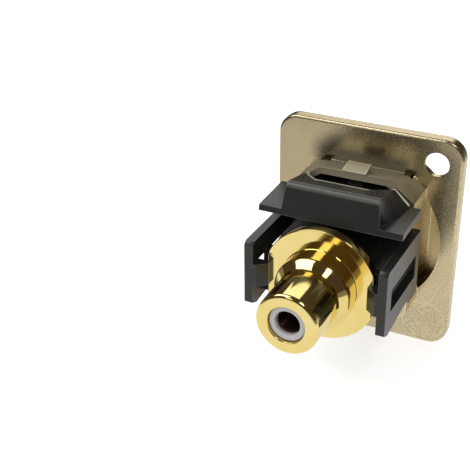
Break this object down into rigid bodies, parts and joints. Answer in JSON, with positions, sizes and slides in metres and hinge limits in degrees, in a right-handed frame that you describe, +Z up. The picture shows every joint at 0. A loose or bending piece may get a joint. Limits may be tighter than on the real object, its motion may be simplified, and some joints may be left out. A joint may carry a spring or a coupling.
{
  "type": "panel socket for phono plugs",
  "caption": "Flanged panel-mount feedthrough socket for phono plugs, with a socket on each side of the panel and a press-to-release latch.",
  "frame": {"origin": "on the socket axis, in the back face of the plate, which lies on the panel", "axes": "+X to the right seen from the front, +Y along the socket axis into the equipment, +Z up towards the latch"},
  "size_m": [0.026, 0.031, 0.031],
  "materials": {
    "nickel_plate": "blasted, nickel plated",
    "black_plastic": "moulded, satin",
    "gold_plate": "turned, gold plated",
    "white_plastic": "turned, satin",
    "contact_metal": "turned, plated"
  },
  "bodies": {
    "socket": {"frame": "nickel_plate", "insert_body": "black_plastic", "front_jack_shell": "gold_plate", "rear_jack_shell": "gold_plate", "front_insulator": "white_plastic", "rear_insulator": "white_plastic", "centre_contact": "contact_metal"},
    "latch": {"release_latch": "black_plastic"}
  },
  "joints": [
    {"name": "latch_press", "type": "hinge", "parent": "socket", "child": "latch", "pos_m": [0, -0.0019, 0.00795], "axis": [-1, 0, 0], "range_deg": [0, 7.5], "stiffness_Nm_per_rad": 0.5, "springref_deg": -1.15}
  ]
}
